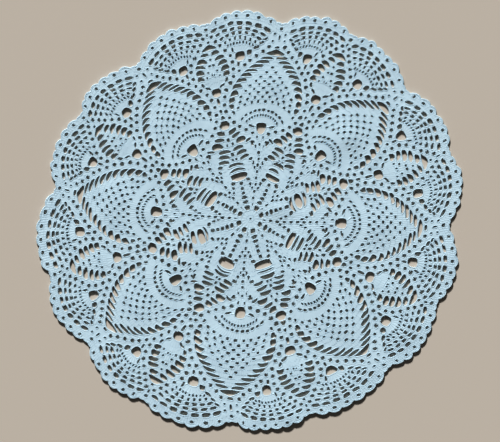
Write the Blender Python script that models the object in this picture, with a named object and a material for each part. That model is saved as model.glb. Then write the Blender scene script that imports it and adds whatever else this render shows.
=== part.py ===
"""A round doily in pineapple crochet, worked in one piece from the centre ring out.

The mat is one flat sheet, as thick as its stitches.  One eighth of it is charted as an even
pattern, in degrees round the mat and millimetres out from its centre ring.  A smooth pull then
carries every point of the chart to where the finished mat lies, since no doily dries quite even.
"""
import math

import bpy
import numpy as np

MM = 0.001
THICKNESS = 2.0          # mm, a sheet of tall stitches in fine cotton
REPEATS = 8
REPEAT_TURN = 360.0 / REPEATS
VALLEY_TURN = REPEAT_TURN / 2   # from a large pineapple's axis to the small one beside it
FAN_TURN = 12.0          # from a large pineapple's axis to the eye of the edge fan beside it
CREST_TURN = REPEAT_TURN / 4
FIRST_AXIS = -4.7        # degrees from +X to the first large pineapple
EASE = 60.0              # how far the pull may miss a landmark, for a smooth run between them

# How far out each landmark is on the even chart, in mm from the centre ring.
CHART_REACH = {
    "arm": 47.5, "eye": 93.0, "tip": 172.0, "dip": 200.0,
    "rung": 23.3, "hole": 46.0, "top": 99.0, "small_eye": 134.5, "small_tip": 182.0, "small_dip": 206.0,
    "fan_eye": 169.5, "crest": 212.5,
}

# Where the landmarks of the finished mat lie: (degrees from +X, mm out), a row for each repeat.
LARGE_COLUMNS = ("arm", "eye", "tip", "dip")
LARGE_ROWS = (
    ((-4.5, 47.2), (-2.9, 91.0), (-3.5, 169.6), (-1.7, 198.0)),
    ((40.5, 48.0), (42.0, 94.0), (39.8, 173.6), (39.8, 202.4)),
    ((82.2, 47.5), (83.5, 91.5), (81.3, 167.6), (80.8, 197.3)),
    ((128.8, 46.3), (130.5, 89.5), (126.1, 164.7), (126.9, 191.4)),
    ((177.2, 47.8), (176.0, 95.0), (171.9, 172.5), (170.8, 198.0)),
    ((221.0, 51.0), (219.3, 97.0), (217.2, 177.0), (217.2, 205.0)),
    ((262.3, 50.8), (263.7, 95.0), (263.1, 175.3), (264.8, 204.2)),
    ((308.0, 48.0), (310.6, 91.5), (310.4, 174.7), (312.7, 203.0)),
)
SMALL_COLUMNS = ("rung", "hole", "top", "small_eye", "small_tip", "small_dip")
SMALL_ROWS = (
    ((18.8, 21.5), (18.0, 46.5), (20.8, 99.3), (19.0, 135.0), (17.9, 183.0), (19.0, 210.0)),
    ((58.5, 23.0), (62.0, 46.0), (61.5, 99.3), (61.2, 135.5), (61.2, 185.0), (60.6, 210.0)),
    ((107.5, 22.3), (104.5, 43.5), (105.5, 97.0), (105.2, 130.0), (103.8, 175.5), (103.3, 198.7)),
    ((153.5, 22.0), (153.0, 43.3), (152.6, 97.5), (150.4, 130.7), (149.7, 176.0), (148.8, 200.2)),
    ((200.5, 25.3), (196.5, 47.5), (196.5, 102.7), (196.2, 139.0), (195.0, 184.3), (196.2, 209.0)),
    ((240.5, 26.2), (241.5, 51.0), (239.8, 103.0), (238.3, 138.0), (239.4, 187.4), (239.4, 211.0)),
    ((282.0, 23.7), (285.0, 47.5), (287.5, 101.6), (286.7, 137.5), (286.4, 183.0), (286.7, 205.0)),
    ((328.0, 22.5), (330.5, 44.6), (333.5, 96.7), (334.0, 132.6), (333.8, 181.4), (335.2, 204.7)),
)
# Two edge fans for each repeat: the one before the large axis, then the one after it.
FAN_COLUMNS = ("fan_eye", "crest")
FAN_ROWS = (
    ((-15.0, 167.6), (-13.5, 212.4)), ((8.7, 169.0), (8.7, 214.6)),
    ((28.8, 171.4), (29.2, 216.0)), ((51.6, 171.4), (50.7, 214.6)),
    ((70.6, 169.0), (70.5, 214.6)), ((93.7, 163.0), (92.5, 209.0)),
    ((114.6, 162.5), (114.9, 205.0)), ((139.6, 163.6), (138.5, 206.4)),
    ((160.4, 167.6), (160.5, 209.0)), ((184.4, 171.0), (184.0, 215.7)),
    ((206.0, 174.7), (206.5, 218.0)), ((229.4, 175.2), (228.7, 218.4)),
    ((250.6, 172.5), (252.0, 217.5)), ((275.4, 172.5), (275.6, 212.4)),
    ((297.9, 171.8), (299.6, 211.8)), ((323.1, 169.2), (323.5, 213.5)),
)

# The gaps cut through in each repeat: degrees from the large axis, mm out, size across and along
# the radius, how far the end nearer the valley drops, and how much the outer side is the wider.
GAP_COLUMNS = ("turn", "reach", "across", "along", "drop", "flare")
GAP_ROWS = (
    (0.0, 92.3, 9.2, 11.2, 0.0, 0.22),      # large pineapple: eye, tip, then the slots of its ladders
    (0.0, 172.0, 13.6, 5.0, 0.0, -0.60),
    (16.3, 123.0, 6.0, 5.6, 2.2, 0.0),
    (14.8, 130.4, 7.2, 5.6, 2.6, 0.0),
    (13.2, 137.5, 8.0, 5.2, 2.2, 0.0),
    (11.6, 143.8, 9.0, 4.4, 1.8, 0.0),
    (9.7, 149.0, 9.6, 3.9, 1.3, 0.0),
    (7.7, 153.7, 10.4, 3.6, 1.0, 0.0),
    (6.0, 158.2, 10.8, 3.2, 0.8, 0.0),
    (VALLEY_TURN, 134.4, 9.4, 8.4, 0.0, 0.0),    # small pineapple: eye, tip, then its ladders
    (VALLEY_TURN, 182.2, 10.0, 4.8, 0.0, -0.50),
    (17.2, 153.2, 6.0, 4.6, -0.8, 0.0),
    (17.4, 159.0, 7.4, 4.8, -0.8, 0.0),
    (18.2, 164.9, 8.4, 4.8, -0.8, 0.0),
    (19.1, 170.4, 9.0, 4.4, -0.6, 0.0),
    (FAN_TURN, 169.5, 8.6, 8.8, 0.0, 0.12),      # edge fan: eye and the slot beside it
    (8.9, 172.6, 4.8, 6.6, 0.0, 0.0),
    (VALLEY_TURN, 11.8, 5.4, 3.4, 0.0, 0.0),     # valley between two arms, from the ring out
    (VALLEY_TURN, 46.2, 17.0, 7.6, 0.0, 0.0),
    (VALLEY_TURN, 52.8, 14.0, 2.8, 0.0, 0.0),
    (VALLEY_TURN, 57.7, 15.0, 3.2, 0.0, 0.0),
    (14.4, 80.9, 7.6, 5.4, 1.0, 0.0),
    (VALLEY_TURN, 98.8, 9.2, 7.0, 0.0, -0.15),
)
GAP_SIDES = 6            # corners of a gap
EYE_SIDES = 8            # corners of a gap longer along the radius than EYE_SIZE
EYE_SIZE = 7.0
SQUARENESS = 0.72        # below 1 the corners fill out towards a box

# The scalloped edge: a scallop over each fan, with a row of small chain loops along it.
LOOPS_PER_SCALLOP = 8
POINTS_PER_LOOP = 3
LOOP_RISE = 1.8
LOOP_FULLNESS = 0.7
SCALLOP_FULLNESS = 2.4   # above 2 the scallop is flat on top and steep at its ends

FABRIC_COLOUR = (0.50, 0.67, 0.78, 1.0)
FABRIC_ROUGHNESS = 0.9


def chart_point(turn, reach):
    """A point of the even chart, in mm from the centre ring."""
    angle = math.radians(turn)
    return (reach * math.cos(angle), reach * math.sin(angle))


def add_landmarks(pairs, names, turns, row):
    """Pairs each landmark's place on the chart with its place on the finished mat."""
    for name, turn, (real_turn, real_reach) in zip(names, turns, row):
        pairs.append((chart_point(turn, CHART_REACH[name]), chart_point(real_turn, real_reach)))


def landmark_pairs():
    pairs = [((0.0, 0.0), (0.0, 0.0))]
    for k in range(REPEATS):
        axis = FIRST_AXIS + k * REPEAT_TURN
        valley = axis + VALLEY_TURN
        add_landmarks(pairs, LARGE_COLUMNS, [axis] * len(LARGE_COLUMNS), LARGE_ROWS[k])
        add_landmarks(pairs, SMALL_COLUMNS, [valley] * len(SMALL_COLUMNS), SMALL_ROWS[k])
        add_landmarks(pairs, FAN_COLUMNS, (axis - FAN_TURN, axis - CREST_TURN), FAN_ROWS[2 * k])
        add_landmarks(pairs, FAN_COLUMNS, (axis + FAN_TURN, axis + CREST_TURN), FAN_ROWS[2 * k + 1])
    return pairs


def thin_plate(points, centres):
    """The bending of a thin plate at each point for a push at each centre: r squared times log r."""
    squared = ((points[:, None, :] - centres[None, :, :]) ** 2).sum(axis=2)
    return 0.5 * squared * np.log(np.maximum(squared, 1e-9))


def with_plane(points):
    return np.column_stack([np.ones(len(points)), points])


def fit_pull(pairs):
    """The smooth pull that carries the chart's landmarks to their real places."""
    chart = np.array([pair[0] for pair in pairs])
    real = np.array([pair[1] for pair in pairs])
    plane = with_plane(chart)
    bending = thin_plate(chart, chart) + EASE * np.eye(len(chart))
    system = np.block([[bending, plane], [plane.T, np.zeros((3, 3))]])
    weights = np.linalg.solve(system, np.vstack([real - chart, np.zeros((3, 2))]))
    return chart, weights


def pulled(points, pull):
    """Moves chart points to the finished mat, in mm from the centre ring."""
    chart, weights = pull
    points = np.asarray(points, dtype=float)
    return points + np.column_stack([thin_plate(points, chart), with_plane(points)]) @ weights


def edge_points():
    """The scalloped edge on the chart, a scallop from each dip to the next."""
    points = []
    steps = LOOPS_PER_SCALLOP * POINTS_PER_LOOP
    for scallop in range(2 * REPEATS):
        rising = scallop % 2 == 0
        start, end = ("dip", "small_dip") if rising else ("small_dip", "dip")
        for step in range(steps):
            share = step / steps
            dip = CHART_REACH[start] + share * (CHART_REACH[end] - CHART_REACH[start])
            middle_dip = (CHART_REACH["dip"] + CHART_REACH["small_dip"]) / 2
            height = CHART_REACH["crest"] - LOOP_RISE - middle_dip
            arch = height * (1 - abs(2 * share - 1) ** SCALLOP_FULLNESS)
            loop = LOOP_RISE * abs(math.sin(math.pi * share * LOOPS_PER_SCALLOP)) ** LOOP_FULLNESS
            turn = FIRST_AXIS + (scallop + share) * VALLEY_TURN
            points.append(chart_point(turn, dip + arch + loop))
    return points


def filled_out(value):
    return math.copysign(abs(value) ** SQUARENESS, value)


def gap_points(axis, side, gap):
    """The corners of one gap on the chart; side is 1 past the axis and -1 before it."""
    turn = math.radians(axis + side * gap["turn"])
    outward = np.array((math.cos(turn), math.sin(turn)))
    around = np.array((-outward[1], outward[0])) * side
    corners = EYE_SIDES if gap["along"] > EYE_SIZE else GAP_SIDES
    points = []
    for corner in range(corners):
        angle = 2 * math.pi * corner / corners
        rise = filled_out(math.sin(angle))
        swing = filled_out(math.cos(angle)) * (1 + gap["flare"] * rise)
        out = gap["reach"] + rise * gap["along"] / 2 - swing * gap["drop"] / 2
        points.append(tuple(outward * out + around * swing * gap["across"] / 2))
    return points


def all_gaps():
    gaps = []
    for k in range(REPEATS):
        axis = FIRST_AXIS + k * REPEAT_TURN
        for row in GAP_ROWS:
            gap = dict(zip(GAP_COLUMNS, row))
            paired = gap["turn"] not in (0.0, VALLEY_TURN)
            for side in ((1, -1) if paired else (1,)):
                gaps.append(gap_points(axis, side, gap))
    return gaps


def add_loop(curve, points):
    spline = curve.splines.new("POLY")
    spline.points.add(len(points) - 1)
    for point, (x, y) in zip(spline.points, points):
        point.co = (x * MM, y * MM, 0.0, 1.0)
    spline.use_cyclic_u = True


def make_fabric():
    fabric = bpy.data.materials.new("cotton_thread")
    fabric.use_nodes = True
    shader = fabric.node_tree.nodes["Principled BSDF"]
    shader.inputs["Base Color"].default_value = FABRIC_COLOUR
    shader.inputs["Roughness"].default_value = FABRIC_ROUGHNESS
    shader.inputs["Metallic"].default_value = 0.0
    return fabric


def make_doily(collection):
    """The mat as one flat sheet, its bounding box centred on the origin and its underside at z = 0."""
    pull = fit_pull(landmark_pairs())
    edge = pulled(edge_points(), pull)
    centre = (edge.min(axis=0) + edge.max(axis=0)) / 2
    curve = bpy.data.curves.new("doily", "CURVE")
    curve.dimensions = "2D"
    curve.fill_mode = "BOTH"
    curve.extrude = THICKNESS * MM / 2
    add_loop(curve, edge - centre)
    for gap in all_gaps():
        add_loop(curve, pulled(gap, pull) - centre)
    curve.materials.append(make_fabric())
    doily = bpy.data.objects.new("doily", curve)
    doily.location = (0.0, 0.0, THICKNESS * MM / 2)
    collection.objects.link(doily)
    return doily


def main():
    for old in list(bpy.data.objects):
        bpy.data.objects.remove(old)
    collection = bpy.data.collections.new("lace_doily")
    bpy.context.scene.collection.children.link(collection)
    make_doily(collection)


main()
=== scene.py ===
# %% [markdown]
# # A lace doily in pineapple crochet
#
# The mat is one long cotton thread, looped with a hook from a small ring in the middle outward.
# Its look comes from where the thread is not: eyelets, slots and eyes in a traditional layout that
# repeats eight times.  So the model starts from a chart of its openings, as a crocheter's pattern
# does, and lays the stitches round them.
#
# First the measured frame is loaded, which holds the plain solid mat that this lace stands for.

# %% The frame, loaded from model.glb
import math

import bpy
import numpy as np
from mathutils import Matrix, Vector
from mathutils.geometry import delaunay_2d_cdt


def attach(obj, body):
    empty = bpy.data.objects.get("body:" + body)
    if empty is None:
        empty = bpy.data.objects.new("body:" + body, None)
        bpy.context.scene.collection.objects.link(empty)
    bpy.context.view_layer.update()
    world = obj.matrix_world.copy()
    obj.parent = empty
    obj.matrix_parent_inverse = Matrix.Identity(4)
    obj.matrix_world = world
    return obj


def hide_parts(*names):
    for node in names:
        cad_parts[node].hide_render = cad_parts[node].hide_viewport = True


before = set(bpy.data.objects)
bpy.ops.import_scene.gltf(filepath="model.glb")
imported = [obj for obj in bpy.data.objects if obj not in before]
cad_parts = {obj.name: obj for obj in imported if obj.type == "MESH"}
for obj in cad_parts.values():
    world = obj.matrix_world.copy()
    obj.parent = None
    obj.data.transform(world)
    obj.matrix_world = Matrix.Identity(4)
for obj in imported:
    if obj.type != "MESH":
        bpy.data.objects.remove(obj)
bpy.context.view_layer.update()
MM = 0.001
SEED = 33
rng = np.random.default_rng(SEED)

# %% [markdown]
# ## Where the mat lies
#
# No doily dries quite even.  The chart is drawn even, in degrees round the mat and millimetres
# out, and a smooth pull carries it to the finished shape, as pins do on a blocking board.  A lattice
# could bend the finished mesh, but its cells don't fall on the landmarks of the lace.  The pull is a
# thin plate spline instead: the shape that a thin sheet of steel would take if it were pushed at
# each pin, which bends as little as it can in between.

# %% The main measures of the chart
REPEATS = 8
REPEAT_TURN = 360.0 / REPEATS
VALLEY_TURN = REPEAT_TURN / 2   # from a large pineapple's axis to the small one beside it
CREST_TURN = REPEAT_TURN / 4    # to the top of the edge scallop beside it
FAN_TURN = 12.0                 # to the eye of the edge fan beside it
FIRST_AXIS = -4.7               # degrees from +X to the first large pineapple
CHART_REACH = {                 # mm from the centre ring
    "arm": 47.5, "eye": 93.0, "tip": 172.0, "dip": 200.0,
    "rung": 23.3, "hole": 46.0, "top": 99.0, "small_eye": 134.5, "small_tip": 182.0, "small_dip": 206.0,
    "fan_eye": 169.5, "crest": 212.5,
}
print(f"{REPEATS} repeats of {REPEAT_TURN:.0f} degrees, {len(CHART_REACH)} landmarks in each")

# %% The pins
# Where each landmark lies on the finished mat, as (degrees, mm out), with a row for each repeat.  The
# fans have two rows for each: the fan before the large axis, and the one after it.
LARGE_COLUMNS = ("arm", "eye", "tip", "dip")
LARGE_ROWS = (
    ((-4.5, 47.2), (-2.9, 91.0), (-3.5, 169.6), (-1.7, 198.0)),
    ((40.5, 48.0), (42.0, 94.0), (39.8, 173.6), (39.8, 202.4)),
    ((82.2, 47.5), (83.5, 91.5), (81.3, 167.6), (80.8, 197.3)),
    ((128.8, 46.3), (130.5, 89.5), (126.1, 164.7), (126.9, 191.4)),
    ((177.2, 47.8), (176.0, 95.0), (171.9, 172.5), (170.8, 198.0)),
    ((221.0, 51.0), (219.3, 97.0), (217.2, 177.0), (217.2, 205.0)),
    ((262.3, 50.8), (263.7, 95.0), (263.1, 175.3), (264.8, 204.2)),
    ((308.0, 48.0), (310.6, 91.5), (310.4, 174.7), (312.7, 203.0)),
)
SMALL_COLUMNS = ("rung", "hole", "top", "small_eye", "small_tip", "small_dip")
SMALL_ROWS = (
    ((18.8, 21.5), (18.0, 46.5), (20.8, 99.3), (19.0, 135.0), (17.9, 183.0), (19.0, 210.0)),
    ((58.5, 23.0), (62.0, 46.0), (61.5, 99.3), (61.2, 135.5), (61.2, 185.0), (60.6, 210.0)),
    ((107.5, 22.3), (104.5, 43.5), (105.5, 97.0), (105.2, 130.0), (103.8, 175.5), (103.3, 198.7)),
    ((153.5, 22.0), (153.0, 43.3), (152.6, 97.5), (150.4, 130.7), (149.7, 176.0), (148.8, 200.2)),
    ((200.5, 25.3), (196.5, 47.5), (196.5, 102.7), (196.2, 139.0), (195.0, 184.3), (196.2, 209.0)),
    ((240.5, 26.2), (241.5, 51.0), (239.8, 103.0), (238.3, 138.0), (239.4, 187.4), (239.4, 211.0)),
    ((282.0, 23.7), (285.0, 47.5), (287.5, 101.6), (286.7, 137.5), (286.4, 183.0), (286.7, 205.0)),
    ((328.0, 22.5), (330.5, 44.6), (333.5, 96.7), (334.0, 132.6), (333.8, 181.4), (335.2, 204.7)),
)
FAN_COLUMNS = ("fan_eye", "crest")
FAN_ROWS = (
    ((-15.0, 167.6), (-13.5, 212.4)), ((8.7, 169.0), (8.7, 214.6)),
    ((28.8, 171.4), (29.2, 216.0)), ((51.6, 171.4), (50.7, 214.6)),
    ((70.6, 169.0), (70.5, 214.6)), ((93.7, 163.0), (92.5, 209.0)),
    ((114.6, 162.5), (114.9, 205.0)), ((139.6, 163.6), (138.5, 206.4)),
    ((160.4, 167.6), (160.5, 209.0)), ((184.4, 171.0), (184.0, 215.7)),
    ((206.0, 174.7), (206.5, 218.0)), ((229.4, 175.2), (228.7, 218.4)),
    ((250.6, 172.5), (252.0, 217.5)), ((275.4, 172.5), (275.6, 212.4)),
    ((297.9, 171.8), (299.6, 211.8)), ((323.1, 169.2), (323.5, 213.5)),
)


def chart_point(turn, reach):
    """A point, or an array of them, of the even chart, in mm from the centre ring."""
    angle = np.radians(turn)
    return np.stack([reach * np.cos(angle), reach * np.sin(angle)], axis=-1)


def landmark_pairs():
    """Each landmark on the even chart, and the same one on the finished mat."""
    chart, real = [(0.0, 0.0)], [(0.0, 0.0)]
    for k in range(REPEATS):
        axis = FIRST_AXIS + k * REPEAT_TURN
        valley = axis + VALLEY_TURN
        for names, turns, row in (
            (LARGE_COLUMNS, [axis] * len(LARGE_COLUMNS), LARGE_ROWS[k]),
            (SMALL_COLUMNS, [valley] * len(SMALL_COLUMNS), SMALL_ROWS[k]),
            (FAN_COLUMNS, (axis - FAN_TURN, axis - CREST_TURN), FAN_ROWS[2 * k]),
            (FAN_COLUMNS, (axis + FAN_TURN, axis + CREST_TURN), FAN_ROWS[2 * k + 1]),
        ):
            for name, turn, (real_turn, real_reach) in zip(names, turns, row):
                chart.append(tuple(chart_point(turn, CHART_REACH[name])))
                real.append(tuple(chart_point(real_turn, real_reach)))
    return np.array(chart), np.array(real)


chart_pins, real_pins = landmark_pairs()
print(f"{len(chart_pins)} pins")

# %% The pull itself
EASE = 60.0          # how far the pull may miss a pin, for a smooth run between them
PULL_BATCH = 20000   # points pulled at once, which keeps the arrays small


def thin_plate(points, centres):
    """The bending of a thin plate at each point for a push at each centre: r squared times log r."""
    squared = ((points[:, None, :] - centres[None, :, :]) ** 2).sum(axis=2)
    return 0.5 * squared * np.log(np.maximum(squared, 1e-9))


def with_plane(points):
    """Columns for the part of the pull that only shifts, turns and stretches: 1, x and y."""
    return np.column_stack([np.ones(len(points)), points])


plane = with_plane(chart_pins)
bending = thin_plate(chart_pins, chart_pins) + EASE * np.eye(len(chart_pins))
system = np.block([[bending, plane], [plane.T, np.zeros((3, 3))]])
weights = np.linalg.solve(system, np.vstack([real_pins - chart_pins, np.zeros((3, 2))]))


def pulled(points):
    """Moves chart points of any array shape to the finished mat, in mm from the centre ring."""
    flat = np.asarray(points, dtype=float).reshape(-1, 2)
    moved = np.empty_like(flat)
    for start in range(0, len(flat), PULL_BATCH):
        part = flat[start:start + PULL_BATCH]
        pushes = np.column_stack([thin_plate(part, chart_pins), with_plane(part)])
        moved[start:start + PULL_BATCH] = part + pushes @ weights
    return moved.reshape(np.shape(points))


miss = np.linalg.norm(pulled(chart_pins) - real_pins, axis=1)
print(f"the pull misses the pins by {miss.mean():.2f} mm on average")

# %% [markdown]
# ## The scalloped edge
#
# The last round hangs a row of small chain loops on sixteen scallops.  A drawn curve would do, but a
# formula of the turn alone can also tell every later step how far out the edge is.  A few sine waves
# on top keep one loop from being just like the next.

# %% How far out the edge is
LOOPS_PER_SCALLOP = 7     # one of them on each dip, shared by two scallops
POINTS_PER_LOOP = 8
NOTCH_DEPTH = 2.9         # mm, between two loops
LOOP_FULLNESS = 0.6       # below 1 a loop is full and its notch narrow
SCALLOP_FULLNESS = 2.4    # above 2 the scallop is flat on top and steep at its ends
EDGE_INSET = 0.3          # mm, how far the whole edge is drawn in from its landmarks
WAVE_COLUMNS = ("height", "waves", "phase")     # mm, how many round the mat, radians
EDGE_WAVES = ((0.45, 29, 1.0), (0.35, 47, 2.3), (0.30, 71, 0.4))


def table(columns, rows):
    """The rows of a table as dictionaries.  Values left off a row's end are 0."""
    return [dict(zip(columns, row + (0.0,) * (len(columns) - len(row)))) for row in rows]


def edge_reach(turn, loops=True):
    """How far out the edge is on the chart, at degrees from a large axis."""
    folded = abs((np.asarray(turn) + VALLEY_TURN) % REPEAT_TURN - VALLEY_TURN)
    share = folded / VALLEY_TURN
    dip = CHART_REACH["dip"] + share * (CHART_REACH["small_dip"] - CHART_REACH["dip"])
    height = CHART_REACH["crest"] - (CHART_REACH["dip"] + CHART_REACH["small_dip"]) / 2
    arch = height * (1 - abs(2 * share - 1) ** SCALLOP_FULLNESS)
    notch = NOTCH_DEPTH * (1 - abs(np.cos(math.pi * share * LOOPS_PER_SCALLOP)) ** LOOP_FULLNESS)
    return dip + arch - (notch if loops else 0.0) - EDGE_INSET


def edge_unevenness(turn):
    """Small swings of the edge in mm, at degrees from the first large axis."""
    around = np.radians(np.asarray(turn))
    waves = table(WAVE_COLUMNS, EDGE_WAVES)
    return sum(w["height"] * np.sin(w["waves"] * around + w["phase"]) for w in waves)


steps = REPEATS * 2 * LOOPS_PER_SCALLOP * POINTS_PER_LOOP
edge_turns = np.arange(steps) * 360.0 / steps
edge = pulled(chart_point(FIRST_AXIS + edge_turns, edge_reach(edge_turns) + edge_unevenness(edge_turns)))
mat_middle = (edge.min(axis=0) + edge.max(axis=0)) / 2
edge_next = np.roll(edge, -1, axis=0)
outline_area = 0.5 * abs(np.sum(edge[:, 0] * edge_next[:, 1] - edge[:, 1] * edge_next[:, 0]))

# %% [markdown]
# ## The chart of openings
#
# A crocheter leaves an opening wherever the thread skips: one chain or two make an eyelet, a row of
# longer chains makes a ladder of slots, and a large loop filled with tall stitches makes an eye.
# Each could be a cutter of its own, but a row of a table says as much: degrees from the large axis,
# mm out, its size across and along the radius, how far the end nearer the valley drops, how much
# wider its outer side is, how far both its ends droop, and how pointed they are.
#
# Half a repeat is charted, from the axis of a large pineapple (0 degrees) to the valley beside it
# (22.5 degrees).  The other half is its mirror image.

# %% Single openings, group by group
OPENING_COLUMNS = ("turn", "reach", "across", "along", "drop", "flare", "arch", "point")
ARM_OPENINGS = (
    (0.0, 14.6, 1.7, 2.8), (0.0, 21.3, 2.0, 3.2), (0.0, 28.2, 2.1, 3.2), (0.0, 35.0, 2.0, 3.0),
    (0.0, 41.3, 1.9, 3.2), (0.0, 47.5, 2.1, 3.2), (0.0, 53.8, 2.0, 3.3), (0.0, 60.3, 2.3, 3.2),
    (0.0, 66.7, 2.5, 3.0), (0.0, 75.0, 1.7, 3.2), (1.9, 82.8, 1.8, 3.2), (5.0, 31.7, 2.0, 2.2),
    (8.3, 36.0, 2.3, 3.2), (11.9, 40.8, 4.2, 3.0, -0.8), (3.1, 51.6, 1.6, 3.0), (5.2, 56.2, 2.1, 3.2),
    (8.0, 60.8, 4.2, 2.9, 1.2), (13.3, 63.6, 9.8, 3.5, 3.2, 0.0, 1.0),
    (15.3, 68.4, 10.4, 3.3, 2.8, 0.0, 1.0), (17.2, 73.4, 11.2, 3.5, 2.0, 0.0, 1.2),
    (3.3, 72.6, 1.3, 3.8), (5.6, 76.6, 3.4, 4.8, 0.0, 0.4), (8.8, 79.8, 6.0, 2.6, 4.2, 0.0, 0.6),
)
VALLEY_OPENINGS = (
    (VALLEY_TURN, 11.8, 4.9, 4.4), (VALLEY_TURN, 18.3, 5.0, 3.1), (VALLEY_TURN, 23.3, 5.0, 2.8),
    (VALLEY_TURN, 27.8, 4.2, 2.8), (VALLEY_TURN, 32.5, 3.1, 3.0), (VALLEY_TURN, 38.2, 3.5, 3.6),
    (20.8, 63.3, 1.8, 2.4), (VALLEY_TURN, 68.3, 2.4, 3.4), (20.5, 78.3, 2.2, 3.0),
    (VALLEY_TURN, 83.3, 2.6, 3.4), (13.9, 81.4, 9.6, 5.6, 2.4, 0.0, 0.8),
    (16.9, 86.4, 9.2, 3.5, 3.8, 0.0, 0.8), (19.0, 91.2, 7.6, 4.8, 2.6),
    (VALLEY_TURN, 98.8, 10.6, 8.4, 0.0, 0.0, 0.0, 0.6), (VALLEY_TURN, 106.8, 3.6, 4.2, 0.0, -0.45),
    (VALLEY_TURN, 113.8, 2.4, 3.6), (VALLEY_TURN, 124.5, 2.4, 7.0),
)
LARGE_OPENINGS = (
    (0.0, 92.3, 9.4, 11.2, 0.0, 0.22), (6.4, 94.5, 5.2, 2.4, -2.2), (16.3, 109.3, 2.6, 3.2),
    (16.6, 116.0, 4.0, 5.0, 0.0, 0.3), (16.2, 123.0, 6.0, 5.6, 2.0, 0.0, 1.0),
    (14.8, 130.2, 8.2, 5.2, 2.4, 0.0, 1.6), (13.3, 137.3, 9.2, 4.7, 2.0, 0.0, 2.1),
    (11.6, 143.6, 10.2, 3.9, 1.6, 0.0, 2.1), (9.8, 148.8, 11.0, 3.3, 1.2, 0.0, 1.9),
    (7.9, 153.5, 12.4, 3.1, 1.0, 0.0, 1.6), (6.1, 158.1, 13.8, 2.9, 0.8, 0.0, 1.2),
    (4.1, 162.4, 13.8, 2.8, 0.5, 0.0, 0.9), (2.7, 166.6, 12.0, 2.7, 0.3, 0.0, 0.5),
    (0.0, 172.0, 15.0, 5.4, 0.0, -0.60), (0.0, 177.7, 5.0, 2.1),
)
SMALL_OPENINGS = (
    (VALLEY_TURN, 134.4, 9.6, 8.6), (19.5, 141.2, 4.8, 2.7, 3.2), (17.6, 146.4, 2.8, 4.0, 1.6),
    (17.3, 153.0, 6.6, 4.8, 1.0, 0.0, 1.4), (17.7, 159.0, 8.8, 4.8, 1.8, 0.0, 1.6),
    (18.4, 164.8, 10.2, 4.4, 2.6, 0.0, 1.2), (19.3, 170.3, 10.6, 4.1, 2.4, 0.0, 1.0),
    (20.7, 175.8, 8.6, 3.7, 1.2, 0.0, 0.8), (VALLEY_TURN, 182.2, 14.0, 4.8, 0.0, -0.50),
    (VALLEY_TURN, 187.6, 2.4, 2.2), (20.0, 152.3, 2.0, 1.8), (20.8, 157.5, 2.2, 1.9),
    (21.8, 163.5, 2.4, 1.9), (VALLEY_TURN, 170.0, 2.0, 1.8), (12.6, 161.2, 2.1, 4.8),
)
FAN_OPENINGS = (
    (FAN_TURN, 169.4, 9.2, 9.2, 0.0, 0.12), (8.9, 172.6, 4.6, 5.2, 0.8), (6.8, 177.0, 5.2, 2.9, 1.8),
    (5.3, 181.1, 5.0, 2.6, 1.8), (4.1, 185.2, 4.2, 2.3, 1.4), (14.6, 175.4, 2.0, 4.6, -2.6),
    (0.0, 186.4, 1.5, 4.6), (1.8, 189.6, 2.0, 1.8), (1.9, 183.2, 1.6, 1.6), (VALLEY_TURN, 195.6, 1.5, 4.6),
)
half_openings = table(
    OPENING_COLUMNS, ARM_OPENINGS + VALLEY_OPENINGS + LARGE_OPENINGS + SMALL_OPENINGS + FAN_OPENINGS
)
print(f"{len(half_openings)} single openings in half a repeat")

# %% The strips of shells that outline the pineapples: an eyelet at the heart of each shell
STRIP_COLUMNS = ("turn", "reach")
STRIP_ROWS = (
    (5.5, 87.0), (9.8, 90.3), (13.6, 94.2), (16.6, 99.3), (18.8, 105.2), (19.8, 112.0), (20.1, 119.8),
    (19.3, 128.3), (18.0, 135.3), (16.1, 142.0), (14.6, 148.6),
)
LARGE_STRIP_ROWS = ((12.35, 154.2), (10.4, 159.7), (8.65, 164.2), (6.4, 168.3), (4.4, 172.8), (2.8, 177.5))
SMALL_STRIP_ROWS = (
    (14.5, 156.3), (14.6, 164.0), (15.4, 170.4), (17.0, 176.2), (18.75, 181.7), (19.95, 186.8), (21.2, 192.0),
)
STRIP_EYELET = 3.3    # mm across and along
strip, large_strip, small_strip = (
    table(STRIP_COLUMNS, rows) for rows in (STRIP_ROWS, LARGE_STRIP_ROWS, SMALL_STRIP_ROWS)
)
half_openings += table(
    OPENING_COLUMNS,
    [(s["turn"], s["reach"], STRIP_EYELET, STRIP_EYELET) for s in strip + large_strip + small_strip],
)
print(f"{len(strip + large_strip + small_strip)} shells in half a repeat")

# %% Rows of eyelets, in the nets of the pineapples and fans
# Each row is given by how far out it is on its own axis, the degrees to its first eyelet and between
# eyelets, how many lie on a side, how far the last has dropped, the eyelet's size, and how much
# farther out the row is at its valley end.
ROW_COLUMNS = ("reach", "first", "pitch", "count", "droop", "across", "along", "lean")
LARGE_ROWS_OF_EYELETS = (
    (106.2, 0.0, 1.5, 7, 6.8, 1.3, 2.9), (111.5, 0.0, 2.35, 6, 9.3, 2.6, 2.6),
    (121.0, 0.0, 3.33, 5, 7.0, 2.5, 2.7), (125.6, 1.75, 3.5, 4, 5.6, 2.5, 2.6),
    (130.3, 0.0, 3.95, 4, 4.3, 2.8, 2.4), (134.6, 2.0, 3.85, 3, 2.6, 3.0, 2.2),
    (139.0, 0.0, 3.95, 3, 1.5, 3.2, 2.1), (142.8, 1.9, 3.6, 2, 0.7, 3.3, 2.0),
    (147.2, 0.0, 4.0, 2, 0.4, 3.4, 1.9), (152.0, 1.8, 3.6, 1, 0.0, 3.3, 1.9),
    (156.9, 0.0, 3.4, 1, 0.0, 3.1, 1.9),
)
SMALL_ROWS_OF_EYELETS = ((153.6, 0.5, 0.95, 2, 0.3, 0.9, 1.9),)
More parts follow.
